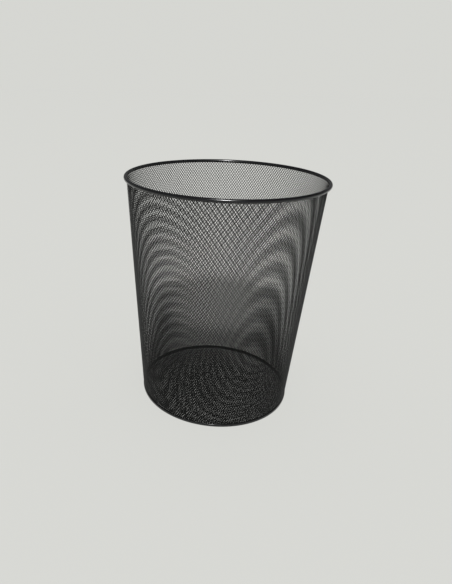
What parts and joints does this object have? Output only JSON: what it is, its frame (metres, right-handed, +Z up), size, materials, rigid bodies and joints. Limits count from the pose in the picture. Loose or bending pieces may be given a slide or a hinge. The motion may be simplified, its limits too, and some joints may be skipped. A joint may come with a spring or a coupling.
{
  "type": "wastebasket",
  "caption": "Round open-topped wastebasket of black expanded metal mesh, tapering to its base, with a rolled rim tube and a rolled base ring.",
  "frame": {"origin": "centre of the base ring's underside, on the surface that the basket stands on", "axes": "+Z up along the basket's axis, from the floor to the open mouth; -X towards the wall's lap seam"},
  "size_m": [0.295, 0.295, 0.35],
  "materials": {
    "mesh_paint": "semi-gloss black paint on expanded steel",
    "rim_paint": "gloss black paint on rolled steel"
  },
  "bodies": {
    "root": {"wall_mesh": "mesh_paint", "floor_mesh": "mesh_paint", "rim_tube": "rim_paint", "base_ring": "rim_paint"}
  },
  "joints": []
}
